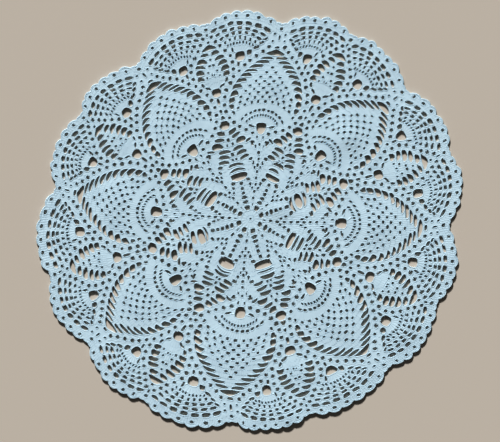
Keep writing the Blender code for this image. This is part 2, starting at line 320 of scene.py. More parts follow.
FAN_ROWS_OF_EYELETS = (
    (182.2, 0.0, 1.0, 5, 2.4, 1.3, 2.7, 0.3), (187.0, 0.0, 1.6, 4, 4.0, 3.1, 3.0, 0.9),
    (191.6, 0.0, 2.0, 4, 4.8, 4.7, 2.7, 1.4), (195.9, 0.0, 2.35, 4, 5.0, 5.9, 2.6, 1.9),
    (200.8, 0.0, 2.7, 4, 5.0, 7.2, 3.6, 2.2),
)
CLOSE = 1e-6    # degrees, for a place that is on an axis but for rounding


def row_openings(rows, axis):
    """The openings of rows that are centred on an axis, as far as they lie in the charted half."""
    found = []
    for r in table(ROW_COLUMNS, rows):
        last = max(r["first"] + r["pitch"] * (r["count"] - 1), CLOSE)
        for step in range(r["count"]):
            turn = r["first"] + r["pitch"] * step
            for side in ((1, -1) if turn > 0 else (1,)):
                share = side * turn / last if r["count"] > 1 else 0.0
                reach = r["reach"] - r["droop"] * share ** 2 + r["lean"] * share
                slope = (2 * r["droop"] * share - r["lean"]) / last if r["count"] > 1 else 0.0
                tilt = slope * math.degrees(1) / reach * r["across"]
                if -CLOSE <= axis + side * turn <= VALLEY_TURN + CLOSE:
                    found.append((axis + side * turn, reach, r["across"], r["along"], tilt))
    return table(OPENING_COLUMNS, found)


before = len(half_openings)
half_openings += row_openings(LARGE_ROWS_OF_EYELETS, 0.0)
half_openings += row_openings(SMALL_ROWS_OF_EYELETS, VALLEY_TURN)
half_openings += row_openings(FAN_ROWS_OF_EYELETS, FAN_TURN)
print(f"{len(half_openings) - before} eyelets in rows")

# %% An eyelet in each loop of the edge
EDGE_EYELET_INSET = 4.9    # mm in from the edge
EDGE_EYELET_ACROSS, EDGE_EYELET_ALONG = 3.2, 2.8
for loop in range(LOOPS_PER_SCALLOP + 1):
    turn = VALLEY_TURN * loop / LOOPS_PER_SCALLOP
    reach = float(edge_reach(turn, loops=False)) - EDGE_EYELET_INSET
    half_openings += table(OPENING_COLUMNS, [(turn, reach, EDGE_EYELET_ACROSS, EDGE_EYELET_ALONG)])


def sides_of(opening):
    """An opening on an axis is placed once in each repeat, and any other twice, as mirror images."""
    return (1,) if opening["turn"] in (0.0, VALLEY_TURN) else (1, -1)


alone = sum(1 for o in half_openings if len(sides_of(o)) == 1)
print(f"{len(half_openings)} openings in half a repeat, {alone} of them on an axis")

# %% The three long slots of each valley
# These differ most from repeat to repeat, so they are charted one by one.  The shift is in mm,
# anticlockwise from the valley's axis.
SLOT_COLUMNS = ("valley", "reach", "shift", "across", "along", "drop", "arch", "point")
SLOT_ROWS = (
    (0, 43.6, 0.7, 17.0, 2.8, 0.0, -2.8),
    (0, 50.2, 1.7, 15.2, 7.0, 0.0, 0.0, 0.5),
    (0, 56.4, 1.7, 15.0, 3.0, -2.0, 1.8),
    (1, 45.6, 0.2, 16.6, 5.4, 0.0, -0.8, 0.2),
    (1, 52.7, 1.7, 11.8, 2.9, 0.0, 1.6, 0.2),
    (1, 59.4, 0.9, 15.2, 4.3, -0.8, 2.2),
    (2, 45.5, 1.0, 18.6, 7.8, 0.0, 0.0, 0.5),
    (2, 52.3, 0.5, 15.6, 2.5, 0.0, 2.6, 0.1),
    (2, 57.6, 0.7, 16.0, 2.8, -0.8, 2.2),
    (3, 46.0, 0.7, 18.0, 7.5, -2.0, 0.0, 0.5),
    (3, 52.3, 0.5, 15.6, 1.9, -2.2, 1.0, 0.1),
    (3, 57.1, 0.7, 15.2, 3.1, -2.2, 1.0),
    (4, 45.4, 1.2, 16.0, 2.0, 0.0, -2.2, 0.1),
    (4, 50.5, 3.0, 16.6, 6.7, 0.0, 0.0, 0.4),
    (4, 58.2, 2.5, 15.6, 4.3, -1.0, 0.6),
    (5, 45.5, 0.1, 18.6, 9.7, 0.0, 1.2, 0.2),
    (5, 53.6, 0.1, 15.6, 1.7, -0.8, 2.6, 0.1),
    (5, 57.4, 0.4, 16.0, 2.9, 0.0, 2.4),
    (6, 45.8, 0.7, 18.6, 7.7, 0.0, 0.0, 0.2),
    (6, 52.3, 0.5, 16.0, 1.5, 0.0, 0.9, 0.1),
    (6, 58.0, 2.0, 17.0, 4.3, 0.0, 1.8, 0.1),
    (7, 46.6, 0.6, 18.6, 6.1, 0.0, 0.0, 0.3),
    (7, 51.9, 0.1, 16.0, 2.2, 0.0, 0.4),
    (7, 57.1, 1.1, 15.6, 3.3, -0.6, 0.5),
)


def slots_of(valley):
    """The long slots of one valley, as openings."""
    rows = []
    for s in table(SLOT_COLUMNS, SLOT_ROWS):
        if s["valley"] == valley:
            turn = VALLEY_TURN + math.degrees(s["shift"] / s["reach"])
            rows.append((turn, s["reach"], s["across"], s["along"], s["drop"], 0.0, s["arch"], s["point"]))
    return table(OPENING_COLUMNS, rows)


print(f"{len(SLOT_ROWS)} long slots of their own")

# %% [markdown]
# ## The shape of an opening
#
# A loop under tension is neither a circle nor a box.  A bezier could draw each one, but a rounded
# box by formula takes its shape from the few numbers of its row, and the same numbers can say
# whether a point lies inside.  That second use keeps each stitch out of the openings.

# %% The outline of an opening
SQUARENESS = 0.7         # below 1 the corners fill out towards a box
ARCH_MIDDLE = 0.4        # the share of an arched slot's bend that lifts its middle; its ends take the rest


def directions(turn):
    """The outward and the anticlockwise direction, at degrees round the chart."""
    angle = math.radians(turn)
    return np.array((math.cos(angle), math.sin(angle))), np.array((-math.sin(angle), math.cos(angle)))


def filled_out(value, point=0.0):
    """A sine or cosine, raised so that the oval it draws fills its corners."""
    return np.copysign(abs(value) ** (SQUARENESS + point), value)


def opening_points(o, corners, grow=0.0):
    """The outline of one opening on the chart, about a large axis at 0 degrees."""
    outward, around = directions(o["turn"])
    angle = 2 * math.pi * np.arange(corners) / corners
    rise = filled_out(np.sin(angle), o["point"])
    swing = filled_out(np.cos(angle)) * (1 + o["flare"] * rise)
    out = o["reach"] + rise * (o["along"] / 2 + grow) - swing * o["drop"] / 2
    out = out + o["arch"] * (ARCH_MIDDLE - swing ** 2)
    return outward * out[:, None] + around * (swing * (o["across"] / 2 + grow))[:, None]


first_along, first_across = np.ptp(opening_points(half_openings[0], 48), axis=0)
print(f"the first eyelet measures {first_across:.1f} mm across and {first_along:.1f} mm along")

# %% Whether a point lies in an opening
ROOM_SHAPE = 2.4         # the power of the round-cornered oval that stands for an opening here
LEAST_FLARE = 0.2        # keeps a strongly flared opening from closing to nothing
SLOT_ROOM = table(OPENING_COLUMNS, [(VALLEY_TURN, 51.5, 17.0, 19.0, 0.0, 0.0, 0.6)])   # around the long slots


def inside_any(points, grow=0.3):
    """Which chart points lie in an opening of half a repeat, for points beside an axis at 0 degrees."""
    turns = abs(np.degrees(np.arctan2(points[:, 1], points[:, 0])))
    turns = np.where(turns > VALLEY_TURN, REPEAT_TURN - turns, turns)
    p = chart_point(turns, np.linalg.norm(points, axis=1))
    hit = np.zeros(len(p), dtype=bool)
    for o in half_openings + SLOT_ROOM:
        outward, around = directions(o["turn"])
        v = p @ outward - o["reach"]
        u = p @ around / (o["across"] / 2 + grow)
        v = (v + u * o["drop"] / 2 - o["arch"] * (ARCH_MIDDLE - u ** 2)) / (o["along"] / 2 + grow)
        u = u / np.maximum(1 + o["flare"] * np.clip(v, -1, 1), LEAST_FLARE)
        hit |= abs(u) ** ROOM_SHAPE + abs(v) ** ROOM_SHAPE < 1
    return hit


test_turns, test_reaches = np.linspace(0, VALLEY_TURN, 300)[:, None], np.linspace(5, 195, 300)[None, :]
test_points = chart_point(test_turns, test_reaches).reshape(-1, 2)
print(f"{100 * inside_any(test_points, 0.0).mean():.0f}% of a fan of test points lies in openings")

# %% [markdown]
# ## The stitches
#
# Three kinds are enough.  A post is the tall stitch from one round to the next.  A braid is the top
# of a round, where each stitch leaves a slanted loop.  A rim is the chain that closes round an
# opening.  Real loops could be modelled one inside the other, but at arm's length only their ridges
# show, and they would take millions of faces.  So each stitch is a short centre line on the chart,
# and all of them are swept into thread at the end, at once.

# %% A tall stitch, cut back where it would cross an opening
POST_PITCH = 2.1        # mm between two stitches
POST_POINTS = 3
POST_TESTS = 15         # places along a stitch where it is tested for openings
POST_LEAST = 4          # a stitch that is free for fewer steps is left out
half_posts = []


def longest_run(free):
    """The first and last place of the longest run of True."""
    best, start = (0, -1), None
    for i, clear in enumerate(list(free) + [False]):
        if clear and start is None:
            start = i
        if not clear and start is not None:
            if i - 1 - start > best[1] - best[0]:
                best = (start, i - 1)
            start = None
    return best


def add_post(start, end, foot=1.0, top=1.0):
    """One tall stitch between two chart points, with how wide it is at its foot and its top."""
    share = np.linspace(0, 1, POST_TESTS)
    first, last = longest_run(~inside_any(start + (end - start) * share[:, None]))
    if last - first >= POST_LEAST:
        along = np.linspace(share[first], share[last], POST_POINTS)
        line = start + (end - start) * along[:, None]
        half_posts.append(np.column_stack([line, foot + (top - foot) * along]))


print(f"tall stitches stand {POST_PITCH} mm apart")

# %% A braid of slanted loops, left out where it would cross an opening
BRAID_CLEAR = 0.5       # mm kept free round openings
LOOP_BACK = 0.45        # mm that a loop starts before its stitch, and as far to the inner side
LOOP_BEND = 0.05        # mm that its middle lies to the inner side
LOOP_ON = 0.30          # mm that it ends beyond its stitch
half_braids = []


def run_along(points):
    """How far along a line each of its points is, in mm."""
    return np.concatenate([[0], np.cumsum(np.linalg.norm(np.diff(points, axis=0), axis=1))])


def points_at(points, run, where):
    """Points of a line at given distances along it."""
    return np.stack([np.interp(where, run, points[:, i]) for i in (0, 1)], axis=1)


def unit(vectors):
    """The same directions, each 1 long."""
    return vectors / np.maximum(np.linalg.norm(vectors, axis=-1, keepdims=True), 1e-9)


def add_braid(points):
    """A braid along a chart curve, with one slanted loop for each stitch."""
    run = run_along(points)
    count = max(int(run[-1] / POST_PITCH), 1)
    fine = points_at(points, run, np.linspace(0, run[-1], count * 2 + 1))
    tangent = unit(np.gradient(fine, axis=0))
    normal = np.stack([-tangent[:, 1], tangent[:, 0]], axis=1)
    clear = ~inside_any(fine, BRAID_CLEAR)
    for a, m, b in zip(range(0, 2 * count, 2), range(1, 2 * count, 2), range(2, 2 * count + 1, 2)):
        if clear[a] and clear[m] and clear[b]:
            half_braids.append(np.array([
                fine[a] - tangent[a] * LOOP_BACK - normal[a] * LOOP_BACK,
                fine[m] - normal[m] * LOOP_BEND,
                fine[b] + tangent[b] * LOOP_ON + normal[b] * LOOP_BACK,
            ]))


print(f"a braid's loops start {LOOP_BACK} mm back and end {LOOP_ON} mm on, so each overlaps the next")

# %% [markdown]
# ## The centre and the eight arms
#
# The middle is worked in rounds of tall stitches that rise towards each arm and sink towards each
# valley.  One circle array for each round would be level, so a table gives how far out each round is
# on both, and a smooth step runs between them.

# %% Tall stitches in rounds, short of the pineapples and of their strips of shells
ROUND_COLUMNS = ("at_arm", "at_valley")
ROUND_ROWS = (
    (1.0, 1.0), (3.6, 3.6), (9.0, 8.6), (17.4, 15.8), (24.1, 20.8), (31.1, 25.6), (38.0, 30.2),
    (44.4, 35.3), (50.7, 40.6), (57.2, 50.6), (63.6, 55.1), (71.0, 60.8), (79.0, 66.0), (86.0, 71.0),
    (92.0, 76.5), (98.0, 82.0), (104.0, 88.5), (110.0, 95.5), (116.0, 103.0),
)
ARM_HALF_WIDTH = 8.5                  # mm
LAST_WHOLE_ROUND = 11                 # later ones reach only the valley, so they are counted there
BRAIDED_ROUNDS = range(1, 13)
ROUND_GAP = 0.3                       # mm between a stitch and its rounds
STRIP_ROOM = 5.5                      # mm kept free round the hearts of the shells
FIELD_REACH = (84, 88, 92, 96, 102, 110)       # where the pineapple's outline is, in mm out
FIELD_TURN = (4, 9, 13.5, 17, 19, 22.5)        # and in degrees from its axis
FIELD_END = 103
rounds = table(ROUND_COLUMNS, ROUND_ROWS)
strip_points = np.array([chart_point(s["turn"], s["reach"]) for s in strip])


def round_reach(r, turn):
    """How far out a round is, at degrees from a large axis."""
    across = 0.5 * (r["at_arm"] + r["at_valley"]) * np.sin(np.radians(turn))
    lateral = np.clip(across / ARM_HALF_WIDTH, 0, 1)
    return r["at_arm"] + (r["at_valley"] - r["at_arm"]) * lateral * lateral * (3 - 2 * lateral)


def in_arm_field(turn, reach):
    """Whether a tall stitch of the arms belongs here."""
    near_strip = np.min(np.linalg.norm(strip_points - chart_point(turn, reach), axis=1)) < STRIP_ROOM
    beyond = reach > FIELD_REACH[0] and turn < np.interp(reach, FIELD_REACH, FIELD_TURN)
    return not near_strip and not beyond and reach < FIELD_END


for i, (below, above) in enumerate(zip(rounds[:-1], rounds[1:])):
    middle_reach = 0.5 * (sum(below.values()) / 2 + sum(above.values()) / 2)
    if i > LAST_WHOLE_ROUND:
        middle_reach = 0.5 * (below["at_valley"] + above["at_valley"])
    count = max(round(math.radians(VALLEY_TURN) * middle_reach / POST_PITCH), 1)
    for j in range(count):
        turn = VALLEY_TURN * (j + 0.5) / count
        low, high = round_reach(below, turn), round_reach(above, turn)
        if in_arm_field(turn, 0.5 * (low + high)):
            add_post(chart_point(turn, low + ROUND_GAP), chart_point(turn, high - ROUND_GAP))
    if i in BRAIDED_ROUNDS:
        turns = np.linspace(0, VALLEY_TURN, 40)
        add_braid(chart_point(turns, round_reach(below, turns)))
print(f"centre and arms: {len(half_posts)} tall stitches in half a repeat")

# %% [markdown]
# ## The strips of shells
#
# A shell is two tall stitches, a chain and two more, all into the heart of the shell below, so it
# fans out.  A strip of them outlines every pineapple.  One shell instanced along a curve would be
# the usual way, but each one here must also give way to its neighbours' openings, so the stitches
# are added one by one along the strip's direction.

# %% Shells along each strip
SHELL_FOOT = (-2.4, -0.9, 0.9, 2.4)      # mm to the side of the strip's line, for the four stitches
SHELL_TOP = (-4.5, -2.6, 2.6, 4.5)
SHELL_BELOW, SHELL_ABOVE = 4.3, 3.0      # mm from the heart to the feet and the tops
SHELL_BRAID_HALF = 4.9                   # mm to each side of the strip's line
SHELL_BRAID_DROOP, SHELL_BRAID_INSET = 0.9, 0.2


def add_shells(hearts):
    """The stitches and the top braid of each shell of a strip, given by its shells' hearts."""
    points = np.array([chart_point(heart["turn"], heart["reach"]) for heart in hearts])
    for p, onward in zip(points, unit(np.gradient(points, axis=0))):
        across = np.array((-onward[1], onward[0]))
        for foot, top in zip(SHELL_FOOT, SHELL_TOP):
            add_post(p - onward * SHELL_BELOW + across * foot, p + onward * SHELL_ABOVE + across * top)
        swing = np.linspace(-1, 1, 9)[:, None]
        rise = SHELL_ABOVE - SHELL_BRAID_INSET - SHELL_BRAID_DROOP * swing ** 2
        add_braid(p + onward * rise + across * SHELL_BRAID_HALF * swing)


before = len(half_posts)
for hearts in (strip, large_strip, small_strip):
    add_shells(hearts)
print(f"strips: {len(half_posts) - before} tall stitches")

# %% [markdown]
# ## The eyes
#
# Above each eye, tall stitches fan out like a peacock's tail in one or more rings, a little wider
# than they are high.  A spin or circle array gives true circles only, so the rings are ellipses by
# formula, and each stitch gets wider towards its top, where the fan has more room.

# %% Rings of tall stitches over each eye
EYE_COLUMNS = ("turn", "reach", "spread", "rings")    # spread: degrees to each side
EYE_ROWS = (                                          # a ring: (up, sideways) in mm at its feet and its tops
    (0.0, 92.3, 78, (((6.4, 5.6), (12.6, 15.4)), ((14.9, 18.6), (17.8, 22.4)), ((20.2, 25.0), (27.0, 32.5)))),
    (VALLEY_TURN, 134.4, 75, (((5.0, 5.4), (11.6, 8.6)), ((11.8, 8.8), (16.0, 9.6)))),
    (FAN_TURN, 169.4, 70, (((5.2, 5.0), (12.2, 13.4)), ((15.2, 16.4), (17.6, 19.4)))),
)
HALF_MARGIN = 0.01      # degrees that a stitch may lie outside the charted half
BRAID_MARGIN = 0.2      # and a braid
RING_LEAST = 3          # stitches on each side of a ring, at least


def add_ring(eye, feet, tops):
    """One ring of tall stitches over an eye, and the braid along their tops."""
    outward, around = directions(eye["turn"])
    centre = chart_point(eye["turn"], eye["reach"])
    spread = math.radians(eye["spread"])
    (up_a, side_a), (up_b, side_b) = feet, tops
    arc = spread * 0.5 * (side_a + side_b)
    count = max(round(arc / POST_PITCH), RING_LEAST)
    for j in range(-count, count):
        a = spread * (j + 0.5) / count
        low = centre + outward * up_a * math.cos(a) + around * side_a * math.sin(a)
        high = centre + outward * up_b * math.cos(a) + around * side_b * math.sin(a)
        x, y = 0.5 * (low + high)
        if -HALF_MARGIN <= math.degrees(math.atan2(y, x)) <= VALLEY_TURN:
            add_post(low, high, 2 * side_a / (side_a + side_b), 2 * side_b / (side_a + side_b))
    swing = np.radians(np.linspace(-eye["spread"], eye["spread"], 60))
    curve = centre + outward * (up_b * np.cos(swing))[:, None] + around * (side_b * np.sin(swing))[:, None]
    turns = np.degrees(np.arctan2(curve[:, 1], curve[:, 0]))
    keep = (turns >= -BRAID_MARGIN) & (turns <= VALLEY_TURN + BRAID_MARGIN)
    if keep.sum() > 3:
        add_braid(curve[keep])


before = len(half_posts)
for eye in table(EYE_COLUMNS, EYE_ROWS):
    for feet, tops in eye["rings"]:
        add_ring(eye, feet, tops)
print(f"eyes: {len(half_posts) - before} tall stitches")

# %% [markdown]
# ## The nets of the pineapples and fans
#
# Inside a pineapple, loops and stitches alternate and get fewer until it ends in a point.  In a fan
# each loop is tied to the one below by two short stitches.  Both could be drawn as one net texture,
# but the real rows droop and end at the ladders, so they are laid row by row.

# %% The rows of tall stitches that fill the pineapples
# A row runs from the large axis until so many degrees, or back from the valley where that is below 0.
FILL_COLUMNS = ("low", "high", "until", "droop")
FILL_ROWS = (
    (119.0, 123.0, 15.2, 8.5), (123.4, 127.6, 14.2, 7.4), (128.0, 132.2, 12.9, 5.6),
    (132.6, 136.6, 11.9, 4.2), (137.0, 140.8, 10.6, 3.0), (141.2, 144.8, 9.3, 2.2),
    (145.2, 149.4, 7.8, 1.4), (149.8, 154.0, 6.2, 0.8), (154.4, 158.6, 4.6, 0.4),
    (159.0, 162.4, 3.0, 0.2), (162.8, 165.8, 1.6, 0.0),
    (147.0, 151.0, -4.6, 0.4), (151.4, 155.6, -4.4, 0.6), (156.0, 160.4, -4.0, 0.8),
    (160.8, 165.2, -3.4, 0.6), (165.6, 170.0, -2.6, 0.4), (170.4, 174.8, -1.8, 0.2),
    (175.2, 179.0, -1.1, 0.0),
)
FILL_BRAID_RISE = 0.1    # mm above the stitches


def add_row(r):
    """One row of tall stitches, and the braid along their tops."""
    from_turn = 0.0 if r["until"] > 0 else VALLEY_TURN
    arc = math.radians(abs(r["until"])) * 0.5 * (r["low"] + r["high"])
    count = max(round(arc / POST_PITCH), 1)
    for j in range(count):
        share = (j + 0.5) / count
        turn = from_turn + r["until"] * share
        sunk = r["droop"] * share ** 2
        add_post(chart_point(turn, r["low"] - sunk), chart_point(turn, r["high"] - sunk))
    shares = np.linspace(0, 1, 40)
    tops = r["high"] + FILL_BRAID_RISE - r["droop"] * shares ** 2
    add_braid(chart_point(from_turn + r["until"] * shares, tops))


before = len(half_posts)
for row in table(FILL_COLUMNS, FILL_ROWS):
    add_row(row)
print(f"pineapples: {len(half_posts) - before} tall stitches")

# %% The pairs of short stitches that tie the loops of a fan
KNOT_HEIGHT = 3.0
KNOT_PITCH = 1.3        # mm between the two stitches of a pair


def add_knots(r):
    """The ties of one row of loops, halfway between its eyelets, on both sides of the fan's axis."""
    last = r["first"] + r["pitch"] * (r["count"] - 1)
    turns = np.arange(r["first"] - r["pitch"] / 2, last + r["pitch"], r["pitch"])
    for turn in turns[turns >= 0]:
        reach = r["reach"] - r["droop"] * (turn / last) ** 2
        for side in (1, -1):
            for shift in (-0.5, 0.5):
                where = FAN_TURN + side * (turn + math.degrees(shift * KNOT_PITCH / reach))
                if -HALF_MARGIN <= where <= VALLEY_TURN + HALF_MARGIN:
                    foot, top = reach - KNOT_HEIGHT / 2, reach + KNOT_HEIGHT / 2
                    add_post(chart_point(where, foot), chart_point(where, top))


before = len(half_posts)
for row in table(ROW_COLUMNS, FAN_ROWS_OF_EYELETS[1:]):
    add_knots(row)
print(f"fans: {len(half_posts) - before} short stitches")

# %% [markdown]
# ## The border
#
# Three close rows of short stitches carry the loops of the edge and keep the mat from curling.
# They follow the scallops but not the small loops, so the edge's own formula is used without them.

# %% Short stitches and braids along the border
BORDER_COLUMNS = ("foot", "top")             # mm from the edge
BORDER_ROWS = ((-10.6, -7.8), (-7.4, -5.0), (-4.8, -2.8))
BORDER_BRAIDS = (-10.8, -7.6)                # mm from the edge
BORDER_REACH = 205.0                         # mm out, where the border's stitches are counted
before = len(half_posts)
for row in table(BORDER_COLUMNS, BORDER_ROWS):
    count = round(math.radians(VALLEY_TURN) * BORDER_REACH / POST_PITCH)
    for j in range(count):
        turn = VALLEY_TURN * (j + 0.5) / count
        rim = float(edge_reach(turn, loops=False))
        add_post(chart_point(turn, rim + row["foot"]), chart_point(turn, rim + row["top"]))
turns = np.linspace(0, VALLEY_TURN, 90)
for inset in BORDER_BRAIDS:
    add_braid(chart_point(turns, edge_reach(turns, loops=False) + inset))
print(f"border: {len(half_posts) - before} short stitches; {len(half_braids)} braid loops in all")

# %% [markdown]
# ## From half a repeat to the whole mat
#
# A mirror and an array modifier would repeat the half exactly.  Here each copy goes through the
# pull, so each repeat comes out with its own shape.  Openings get a small chance change of size
# and place as well: a hook never pulls two loops quite alike.

# %% Placing copies, and the chain round an opening
RIM_STEP = 1.5       # mm between the points of a rim
RIM_OFFSET = 0.45    # mm outside the opening's outline
RIM_DETAIL = 48      # corners of the outline that it is measured on


def placed(lines, k, side):
    """Chart lines of half a repeat, moved to one half of repeat k."""
    lines = np.array(lines, dtype=float)
    x, y = lines[..., 0].copy(), lines[..., 1] * side
    angle = math.radians(FIRST_AXIS + k * REPEAT_TURN)
    c, s = math.cos(angle), math.sin(angle)
    lines[..., 0] = x * c - y * s
    lines[..., 1] = x * s + y * c
    return lines


def rim_line(opening):
    """The centre line of the chain round one opening, as evenly spaced points."""
    outline = opening_points(opening, RIM_DETAIL, RIM_OFFSET)
    closed = np.vstack([outline, outline[:1]])
    run = run_along(closed)
    steps = max(round(run[-1] / RIM_STEP), 8)
    return points_at(closed, run, np.linspace(0, run[-1], steps, endpoint=False))


print(f"the chain of the first eyelet has {len(rim_line(half_openings[0]))} points")

# %% Every opening of the mat, with its chance changes
EASED = 0.32            # mm, added to every opening, which the tables chart a little small
BIG_FROM = 5.0          # mm
SLOT_FROM = 6.0         # mm across
SLOT_SHAPE = 1.6        # a slot is so many times wider than high
SLOT_POINTED = 0.25     # slots under tension narrow towards their ends
BIG_CHANCE = {"size": 0.04, "drop": 0.5, "arch": 0.3}      # a share of the size, and mm
SMALL_CHANCE = {"size": 0.09, "drop": 0.2, "arch": 0.1}
TALL_CHANCE, TALL_LEAST, TALL_MOST = 0.12, 0.8, 1.16       # how much higher or lower a slot comes out
MOVE_CHANCE = 0.2       # mm
FLARE_CHANCE = 0.12
CORNER_COLUMNS = ("below", "corners")
CORNER_ROWS = ((4.0, 8), (8.0, 12), (math.inf, 16))        # openings below so many mm get so many corners
SLOT_CORNERS = 20
PINHOLE = table(OPENING_COLUMNS, [(0.0, 0.0, 1.9, 1.9)])[0]    # where the first ring was drawn together


def varied(o):
    """The opening with a small chance change of size, place and shape."""
    big = o["across"] > BIG_FROM or o["along"] > BIG_FROM
    slot = o["across"] > SLOT_SHAPE * o["along"] and o["across"] > SLOT_FROM
    chance = BIG_CHANCE if big else SMALL_CHANCE
    size = rng.normal(1.0, chance["size"])
    tall = 2 - size if big else size      # what a big opening gains in width it loses in height
    if slot:
        tall = float(np.clip(rng.normal(1.0, TALL_CHANCE), TALL_LEAST, TALL_MOST))
    return {
        "turn": o["turn"] + math.degrees(rng.normal(0, MOVE_CHANCE) / o["reach"]),
        "reach": o["reach"] + rng.normal(0, MOVE_CHANCE),
        "across": (o["across"] + EASED) * size,
        "along": (o["along"] + EASED) * tall,
        "drop": o["drop"] + rng.normal(0, chance["drop"]),
        "flare": o["flare"] + rng.normal(0, FLARE_CHANCE),
        "arch": o["arch"] + rng.normal(0, chance["arch"]),
        "point": o["point"] + (SLOT_POINTED if slot else 0.0),
    }


def corners_of(opening):
    """How many corners the web's cut needs, by the opening's size."""
    size = max(opening["across"], opening["along"])
    return next(row["corners"] for row in table(CORNER_COLUMNS, CORNER_ROWS) if size < row["below"])


all_holes, all_rims = [], []
for k in range(REPEATS):
    of_repeat = [(varied(o), side) for o in half_openings for side in sides_of(o)]
    own = [(slot, 1) for slot in slots_of(k)]
    pinhole = [(PINHOLE, 1)] if k == 0 else []
    holes = [placed(opening_points(o, corners_of(o)), k, side) for o, side in of_repeat]
    holes += [placed(opening_points(o, SLOT_CORNERS), k, side) for o, side in own]
    holes += [placed(opening_points(o, corners_of(o)), k, side) for o, side in pinhole]
    all_holes.append(holes)
    all_rims.append([placed(rim_line(o), k, side) for o, side in of_repeat + own + pinhole])
print(f"{sum(len(holes) for holes in all_holes)} openings, each with its rim")

# %% [markdown]
# ## How high the mat lies
#
# A washed doily never lies quite flat: a few puckers stay in it, and each pineapple, eye and fan
# stands up a little where its stitches crowd.  A cloth simulation could find such a shape, but not
# this one, and it would stretch the lace.  A sum of soft bumps gives it by name, place and height.

# %% Puckers and domes
PUCKER_COLUMNS = ("x", "y", "height", "spread")   # mm from the centre of the mat
PUCKERS = (
    (98.0, 83.0, 1.1, 8.0), (28.0, 10.0, 0.8, 6.0), (-72.0, -42.0, 0.8, 18.0),
    (40.0, -198.0, 1.0, 9.0), (70.0, -60.0, 0.5, 22.0),
)
DOME_COLUMNS = ("turns", "reach", "height", "spread")
DOMES = (
    ((0.0,), 133.0, 0.75, 15.0),                    # the large pineapples
    ((0.0,), 101.0, 0.45, 8.0),                     # their eyes
    ((-FAN_TURN, FAN_TURN), 190.0, 0.45, 9.0),      # the edge fans
    ((VALLEY_TURN,), 158.0, 0.35, 8.0),             # the small pineapples
)
DOME_LEAST, DOME_MOST = 0.6, 1.25                   # by chance, times the height
LIE_MEAN, SWELL, RIPPLE = 0.20, 0.12, 0.06        # mm, for the slow waves of the whole mat
bumps = list(PUCKERS)
for dome in table(DOME_COLUMNS, DOMES):
    for k in range(REPEATS):
        for turn in dome["turns"]:
            x, y = pulled(chart_point(FIRST_AXIS + k * REPEAT_TURN + turn, dome["reach"])) - mat_middle
            height = dome["height"] * rng.uniform(DOME_LEAST, DOME_MOST)
            bumps.append((x, y, height, dome["spread"]))


def lie(points):
    """How far the mat is off the table at points in mm, before its own thickness."""
    x, y = points[..., 0], points[..., 1]
    height = LIE_MEAN + SWELL * np.sin(x / 19.0 + 0.7) * np.sin(y / 23.0)
    height = height + RIPPLE * np.sin(x / 9.0 - y / 11.0)
    for b in table(PUCKER_COLUMNS, bumps):
        away = (x - b["x"]) ** 2 + (y - b["y"]) ** 2
        height = height + b["height"] * np.exp(-away / (2 * b["spread"] ** 2))
    return height


edge_lift = lie(edge - mat_middle).mean()
print(f"{len(bumps)} soft bumps; the edge lies {edge_lift:.2f} mm off the table on average")

# %% [markdown]
# ## The ground of the lace
#
# Behind each stitch lie the loops that hold it, and they close the fabric between its openings.
# They are made as one thin web with every opening cut through.  Over two thousand Boolean cuts would
# be slow, so Blender's Delaunay helper splits the area into triangles that follow every outline, and
# the ones whose middle lies in an opening are left out.  This web is the sheet that the stitches
# then cover on both sides.

# %% Triangles that follow every outline
WEB_INSET = 0.35                 # mm in from the edge, under the last round
inner_reach = edge_reach(edge_turns) + edge_unevenness(edge_turns) - WEB_INSET
inner_edge = pulled(chart_point(FIRST_AXIS + edge_turns, inner_reach)) - mat_middle
outlines = [inner_edge] + [pulled(hole) - mat_middle for holes in all_holes for hole in holes]


def split_along(outlines):
    """Points, and triangles between them that follow every closed outline."""
    starts = np.cumsum([0] + [len(outline) for outline in outlines])
    sides = []
    for start, outline in zip(starts, outlines):
        sides += [(int(start + i), int(start + (i + 1) % len(outline))) for i in range(len(outline))]
    result = delaunay_2d_cdt([Vector(p) for p in np.concatenate(outlines)], sides, [], 0, 1e-5)
    return np.array([tuple(v) for v in result[0]]), np.array(result[2])


def inside_outline(points, outline):
    """Which points lie inside: a line from such a point crosses the outline an odd number of times."""
    x, y = points[:, :1], points[:, 1:]
    ax, ay = outline[:, 0], outline[:, 1]
    bx, by = np.roll(ax, -1), np.roll(ay, -1)
    with np.errstate(divide="ignore", invalid="ignore"):
        crossed = ((ay > y) != (by > y)) & (x < (bx - ax) * (y - ay) / (by - ay) + ax)
    return crossed.sum(axis=1) % 2 == 1


def of_fabric(points, tiles, outlines):
    """Which triangles are fabric: inside the edge and in no opening."""
    middles = points[tiles].mean(axis=1)
    kept = inside_outline(middles, outlines[0])
    for outline in outlines[1:]:
        box = (middles > outline.min(axis=0)) & (middles < outline.max(axis=0))
        near = np.flatnonzero(box.all(axis=1))
        kept[near[inside_outline(middles[near], outline)]] = False
    return kept


web_points, tiles = split_along(outlines)
tiles = tiles[of_fabric(web_points, tiles, outlines)]
print(f"{len(tiles)} triangles of fabric")

# %% The web as a closed mesh, with its thickness
WEB_LOW, WEB_HIGH = 0.33, 1.58   # mm above the table


def signed_areas(points, tiles):
    """The area of each triangle in square mm, above 0 where its corners go anticlockwise."""
    a, b, c = points[tiles[:, 0]], points[tiles[:, 1]], points[tiles[:, 2]]
    return 0.5 * ((b - a)[:, 0] * (c - a)[:, 1] - (b - a)[:, 1] * (c - a)[:, 0])


def border_sides(tiles):
    """The sides of triangles that have no triangle on their other side."""
    sides = np.concatenate([tiles[:, [0, 1]], tiles[:, [1, 2]], tiles[:, [2, 0]]])
    twins = {tuple(side) for side in sides[:, ::-1].tolist()}
    return np.array([side for side in sides.tolist() if tuple(side) not in twins])


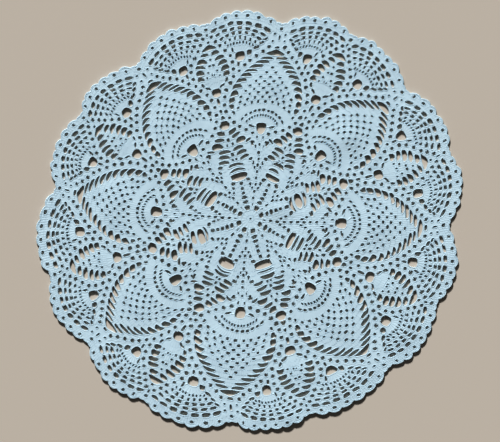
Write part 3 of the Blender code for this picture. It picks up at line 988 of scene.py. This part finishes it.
turned = signed_areas(web_points, tiles) < 0
tiles[turned] = tiles[turned][:, ::-1]
web_area = signed_areas(web_points, tiles).sum()
layer = len(web_points)          # points of the lower side; those of the upper side are counted on from them
web_heights = lie(web_points)
lower = np.column_stack([web_points, WEB_LOW + web_heights])
upper = np.column_stack([web_points, WEB_HIGH + web_heights])
side_start, side_end = border_sides(tiles).T
walls = np.column_stack([side_start, side_end, side_end + layer, side_start + layer])
web_mesh = bpy.data.meshes.new("lace_ground")
web_faces = tiles[:, ::-1].tolist() + (tiles + layer).tolist() + walls.tolist()
web_mesh.from_pydata((np.concatenate([lower, upper]) * MM).tolist(), [], web_faces)
web = bpy.data.objects.new("lace_ground", web_mesh)
bpy.context.scene.collection.objects.link(web)
web_mesh.calc_loop_triangles()
thread_share = web_area / outline_area
print(f"web: {len(web_mesh.loop_triangles)} triangles; {100 * thread_share:.0f}% of the mat is thread")

# %% [markdown]
# ## Thread
#
# Every centre line is swept into a short piece of thread: a ring of points at each step along it,
# joined by four-sided faces and closed at both ends.  Curve objects with a bevel do the same, but
# some eighteen thousand of them are slow to make.  So all pieces of one kind are made in a single
# numpy sum.  A post has the low, broad roof of wound loops, and a braid's loop is a narrow oval.

# %% Sections of the strands, as corners (sideways, up) in mm
def oval(half_width, half_height, sides):
    """The outline of a strand cut across, with a corner on top."""
    angle = 2 * math.pi * np.arange(sides) / sides + math.pi / 2
    return np.column_stack([half_width * np.cos(angle), half_height * np.sin(angle)])


POST_HALF, POST_EAVES, POST_RIDGE, POST_KEEL = 1.12, 0.64, 0.84, 0.82
POST_SECTION = np.array([
    (POST_HALF, POST_EAVES), (0.0, POST_RIDGE), (-POST_HALF, POST_EAVES),
    (-POST_HALF, -POST_EAVES), (0.0, -POST_KEEL), (POST_HALF, -POST_EAVES),
])
LOOP_SECTION = oval(0.50, 0.81, 6)
RIM_SECTION = oval(0.54, 0.95, 5)
EDGE_SECTION = oval(0.62, 0.90, 6)
POST_TAPER = np.array([0.92, 1.0, 0.92])     # how wide a strand is at its start, middle and end
LOOP_TAPER = np.array([0.62, 1.0, 0.66])
print(f"a post is {2 * POST_HALF:.1f} mm wide and {POST_RIDGE + POST_KEEL:.1f} mm high")

# %% The sweeps
WIDTH_CHANCE, HEIGHT_CHANCE, RIM_WIDTH_CHANCE = 0.05, 0.01, 0.07    # shares of a strand's own size
HEIGHT_TAPER = 0.1     # a strand's height narrows at its ends by this share of what its width does


def strand_faces(m, sides):
    """The faces of one strand with m rings of an even number of corners: its walls and its two ends."""
    ring = np.arange(sides)
    wall = np.stack([ring, (ring + 1) % sides, (ring + 1) % sides + sides, ring + sides], axis=1)
    walls = (wall[None] + np.arange(m - 1)[:, None, None] * sides).reshape(-1, 4)
    last = (m - 1) * sides
    ends = [(0, i + 2, i + 1, i) for i in range(1, sides - 2, 2)]
    ends += [(last, last + i, last + i + 1, last + i + 2) for i in range(1, sides - 2, 2)]
    return np.vstack([walls, np.array(ends)])


def sweep(lines, heights, section, taper, widths=1.0):
    """Strands along lines of shape (n, points, 2) in mm; returns their points and faces."""
    n, m = lines.shape[:2]
    sides = len(section)
    along = unit(np.gradient(lines, axis=1))
    sideways = np.stack([along[..., 1], -along[..., 0]], axis=2)
    wide = taper * rng.normal(1.0, WIDTH_CHANCE, (n, 1)) * np.broadcast_to(widths, (n, m))
    high = ((1 - HEIGHT_TAPER) + HEIGHT_TAPER * taper) * rng.normal(1.0, HEIGHT_CHANCE, (n, 1))
    flat = lines[:, :, None, :] + sideways[:, :, None, :] * (wide[..., None] * section[:, 0])[..., None]
    up = heights[..., None] + high[..., None] * section[:, 1]
    points = np.concatenate([flat, up[..., None]], axis=3)
    faces = strand_faces(m, sides)[None] + (np.arange(n) * m * sides)[:, None, None]
    return points.reshape(-1, 3), faces.reshape(-1, 4)


def ring_sweep(line, heights, section):
    """A strand whose centre line ends where it starts, for the chain round an opening."""
    m, sides = len(line), len(section)
    along = unit(np.roll(line, -1, axis=0) - np.roll(line, 1, axis=0))
    away = np.stack([along[:, 1], -along[:, 0]], axis=1)
    wide = rng.normal(1.0, RIM_WIDTH_CHANCE, (m, 1))
    flat = line[:, None, :] + away[:, None, :] * (wide * section[:, 0])[..., None]
    up = heights[:, None] + section[:, 1]
    points = np.concatenate([flat, up[..., None]], axis=2)
    ring, step = np.meshgrid(np.arange(sides), np.arange(m))
    here, there, beside = step * sides, (step + 1) % m * sides, (ring + 1) % sides
    faces = np.stack([here + ring, here + beside, there + beside, there + ring], axis=-1)
    return points.reshape(-1, 3), faces.reshape(-1, 4)


print(f"a strand of {POST_POINTS} rings has {len(strand_faces(POST_POINTS, len(POST_SECTION)))} faces")

# %% Chart lines become strands at their place and height
MID_HEIGHT = 0.95      # mm from the underside to the middle of every strand
PLACE_CHANCE = 0.05    # mm that a stitch's points are off by chance
LIFT_CHANCE = 0.015    # mm that a stitch is higher or lower by chance
RIM_LIFT_CHANCE = 0.03


def swept(lines, section, taper):
    """Strands for chart lines of shape (n, points, 2), or 3 with their widths."""
    lines = np.asarray(lines)
    real = pulled(lines[..., :2]) - mat_middle
    real = real + rng.normal(0, PLACE_CHANCE, real.shape)
    heights = MID_HEIGHT + lie(real) + rng.normal(0, LIFT_CHANCE, (len(real), 1))
    return sweep(real, heights, section, taper, widths=lines[..., 2] if lines.shape[2] > 2 else 1.0)


def rim_swept(line):
    """The chain round one opening."""
    real = pulled(line) - mat_middle
    heights = MID_HEIGHT + lie(real) + rng.normal(0, RIM_LIFT_CHANCE, len(real))
    return ring_sweep(real, heights, RIM_SECTION)


print(f"strands lie {MID_HEIGHT} mm above the underside")

# %% The loops along the edge, in two rows that slant to opposite sides
EDGE_PITCH = 2.0                             # mm between two loops
EDGE_BACK, EDGE_ON = 0.12, 0.08              # how far a loop starts early and ends late, in its own lengths
EDGE_COLUMNS = ("inset", "slant")            # mm
EDGE_ROWS = ((-0.5, 0.2), (-1.5, -0.2))


def edge_lines(k, inset, slant):
    """The slanted loops that follow the looped edge of repeat k."""
    turns = np.linspace(-VALLEY_TURN, VALLEY_TURN, 400)
    reach = edge_reach(turns) + edge_unevenness(k * REPEAT_TURN + turns) + inset
    line = chart_point(FIRST_AXIS + k * REPEAT_TURN + turns, reach)
    run = run_along(line)
    fine = points_at(line, run, np.linspace(0, run[-1], round(run[-1] / EDGE_PITCH) * 2 + 1))
    outward = unit(fine)
    a, m, b = fine[0:-2:2], fine[1:-1:2], fine[2::2]
    start = a - (b - a) * EDGE_BACK - outward[0:-2:2] * slant
    end = b + (b - a) * EDGE_ON + outward[2::2] * slant
    return np.stack([start, m, end], axis=1)


print(f"{len(edge_lines(0, 0.0, 0.0))} loops along the edge of the first repeat")

# %% [markdown]
# ## The eight repeats
#
# Each repeat is its own piece, named for its place, so that it stays light enough to select and
# look at.  A mesh can be filled face by face from Python lists, but for a hundred thousand
# triangles the foreach_set calls, which copy whole numpy arrays, are many times faster.

# %% Posts, braids, rims and edge loops, joined into one mesh for each repeat
SHARP_FROM = 75.0      # degrees; shallower edges are shaded smooth


def thread_mesh(name, parts):
    """One mesh from the points and faces of its parts."""
    points, faces, start = [], [], 0
    for part_points, part_faces in parts:
        points.append(part_points)
        faces.append(part_faces + start)
        start += len(part_points)
    points, faces = np.concatenate(points) * MM, np.concatenate(faces)
    mesh = bpy.data.meshes.new(name)
    mesh.vertices.add(len(points))
    mesh.vertices.foreach_set("co", points.ravel())
    mesh.loops.add(faces.size)
    mesh.loops.foreach_set("vertex_index", faces.ravel().astype(np.int32))
    mesh.polygons.add(len(faces))
    mesh.polygons.foreach_set("loop_start", np.arange(0, faces.size, 4, dtype=np.int32))
    mesh.update(calc_edges=True)
    mesh.polygons.foreach_set("use_smooth", np.ones(len(faces), dtype=bool))
    mesh.set_sharp_from_angle(angle=math.radians(SHARP_FROM))
    return mesh


def repeat_parts(k):
    """The strands of repeat k."""
    parts = []
    for side in (1, -1):
        parts.append(swept(placed(half_posts, k, side), POST_SECTION, POST_TAPER))
        parts.append(swept(placed(half_braids, k, side), LOOP_SECTION, LOOP_TAPER))
    parts += [rim_swept(line) for line in all_rims[k]]
    for row in table(EDGE_COLUMNS, EDGE_ROWS):
        parts.append(swept(edge_lines(k, row["inset"], row["slant"]), EDGE_SECTION, LOOP_TAPER))
    return parts


repeats = []
for k in range(REPEATS):
    name = f"stitches_{k + 1}"
    piece = bpy.data.objects.new(name, thread_mesh(name, repeat_parts(k)))
    bpy.context.scene.collection.objects.link(piece)
    repeats.append(piece)
counts = [2 * len(piece.data.polygons) for piece in repeats]
print(f"triangles a repeat: {counts}, {sum(counts)} in all")

# %% [markdown]
# ## Cotton
#
# Crochet cotton is matt and a little uneven: the dye takes more in some places, and fine plies catch
# the light.  An image of yarn would have to be laid along each strand, so noise in the object's own
# space is used instead.  Slow noise shifts the colour slightly, fast noise makes a small bump, and a
# little sheen stands for the fuzz that lifts the edges of each strand.

# %% The cotton's material
COTTON = (0.52, 0.655, 0.73, 1.0)
COTTON_DEEP = (0.47, 0.60, 0.68, 1.0)


def noise(nodes, scale, detail):
    """A noise texture; the scale is in waves a metre."""
    texture = nodes.new("ShaderNodeTexNoise")
    texture.inputs["Scale"].default_value = scale
    texture.inputs["Detail"].default_value = detail
    return texture


def cotton_material():
    """Matt cotton, with slow shifts of colour and a fine bump."""
    cotton = bpy.data.materials.new("cotton_thread")
    cotton.use_nodes = True
    nodes, links = cotton.node_tree.nodes, cotton.node_tree.links
    shader = nodes["Principled BSDF"]
    shader.inputs["Roughness"].default_value = 0.9
    shader.inputs["Specular IOR Level"].default_value = 0.10
    shader.inputs["Sheen Weight"].default_value = 0.06
    shader.inputs["Sheen Roughness"].default_value = 0.5
    place = nodes.new("ShaderNodeTexCoord")
    slow = noise(nodes, scale=60.0, detail=3.0)
    fast = noise(nodes, scale=1800.0, detail=2.0)
    ramp = nodes.new("ShaderNodeValToRGB")
    deep, light = ramp.color_ramp.elements
    deep.position = 0.25
    deep.color = COTTON_DEEP
    light.position = 0.60
    light.color = COTTON
    bump = nodes.new("ShaderNodeBump")
    bump.inputs["Strength"].default_value = 0.25
    bump.inputs["Distance"].default_value = 0.0003
    links.new(place.outputs["Object"], slow.inputs["Vector"])
    links.new(place.outputs["Object"], fast.inputs["Vector"])
    links.new(slow.outputs["Fac"], ramp.inputs["Fac"])
    links.new(ramp.outputs["Color"], shader.inputs["Base Color"])
    links.new(fast.outputs["Fac"], bump.inputs["Height"])
    links.new(bump.outputs["Normal"], shader.inputs["Normal"])
    return cotton


cotton = cotton_material()
for piece in [web] + repeats:
    piece.data.materials.clear()
    piece.data.materials.append(cotton)
print(f"cotton of {len(cotton.node_tree.nodes)} nodes on {1 + len(repeats)} pieces")

# %% [markdown]
# ## What the pieces stand for
#
# The frame knows one plain solid, the mat.  Every piece of lace moves with its body and is shown in
# its place, so the plain mat is hidden where the lace is seen.

# %% The pieces ride on the mat, and stand for the plain solid
for piece in [web] + repeats:
    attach(piece, "root")
    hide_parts("doily")
print(f"{1 + len(repeats)} pieces stand for the plain mat")

# %% [markdown]
# ## Floor, light and camera
#
# The mat lies on a plain pale floor, a little below zero so that the two never touch.  Lace shows best
# in light that comes in low, because each strand then has a bright and a dark side and each opening
# holds its own shadow.  One sun does that, where area lights would fade across the mat, and a weak
# white sky keeps the shadows from going black.  The camera looks straight down from far off, so
# nothing is foreshortened.

# %% The floor
FLOOR_SIZE, FLOOR_GAP = 6.0, 0.0002    # m
bpy.ops.mesh.primitive_plane_add(size=FLOOR_SIZE, location=(0, 0, -FLOOR_GAP))
floor = bpy.context.object
floor.name = "floor"
floor_paint = bpy.data.materials.new("floor_paint")
floor_paint.use_nodes = True
floor_shader = floor_paint.node_tree.nodes["Principled BSDF"]
floor_shader.inputs["Base Color"].default_value = (0.50, 0.45, 0.39, 1.0)
floor_shader.inputs["Roughness"].default_value = 0.9
floor.data.materials.append(floor_paint)

# %% One low sun and a weak sky
KEY_FROM = (-0.22, 1.0, 0.49)     # the way towards the sun
KEY_STRENGTH = 5.0
KEY_SOFTNESS = 0.12               # radians across, for soft-edged shadows
SKY_STRENGTH = 0.08
key = bpy.data.lights.new("key", "SUN")
key.energy = KEY_STRENGTH
key.angle = KEY_SOFTNESS
key_lamp = bpy.data.objects.new("key", key)
key_lamp.rotation_mode = "QUATERNION"
key_lamp.rotation_quaternion = Vector(KEY_FROM).to_track_quat("Z", "Y")
bpy.context.scene.collection.objects.link(key_lamp)
world = bpy.data.worlds.new("studio")
world.use_nodes = True
sky = world.node_tree.nodes["Background"]
sky.inputs["Color"].default_value = (1.0, 1.0, 1.0, 1.0)
sky.inputs["Strength"].default_value = SKY_STRENGTH
bpy.context.scene.world = world
bpy.context.scene.view_settings.view_transform = "Standard"
bpy.context.scene.view_settings.look = "High Contrast"
sun_height = math.degrees(math.atan2(KEY_FROM[2], math.hypot(KEY_FROM[0], KEY_FROM[1])))
print(f"the sun stands {sun_height:.0f} degrees high")

# %% The camera
DISTANCE = 3.0                       # m
VIEW_WIDTH = 0.5                     # m of the table that the picture shows
SENSOR_WIDTH = 36.0                  # mm
VIEW_MIDDLE = (0.0005, -0.0007)      # m
camera_data = bpy.data.cameras.new("camera")
camera_data.sensor_width = SENSOR_WIDTH
camera_data.lens = SENSOR_WIDTH * DISTANCE / VIEW_WIDTH
camera_data.clip_end = 20.0
camera = bpy.data.objects.new("camera", camera_data)
bpy.context.scene.collection.objects.link(camera)
camera.location = VIEW_MIDDLE + (DISTANCE,)
camera.rotation_euler = (0.0, 0.0, 0.0)
bpy.context.scene.camera = camera
print(f"a {camera_data.lens:.0f} mm lens at {DISTANCE:.0f} m")

# %% The view layer brought up to date
bpy.context.view_layer.update()
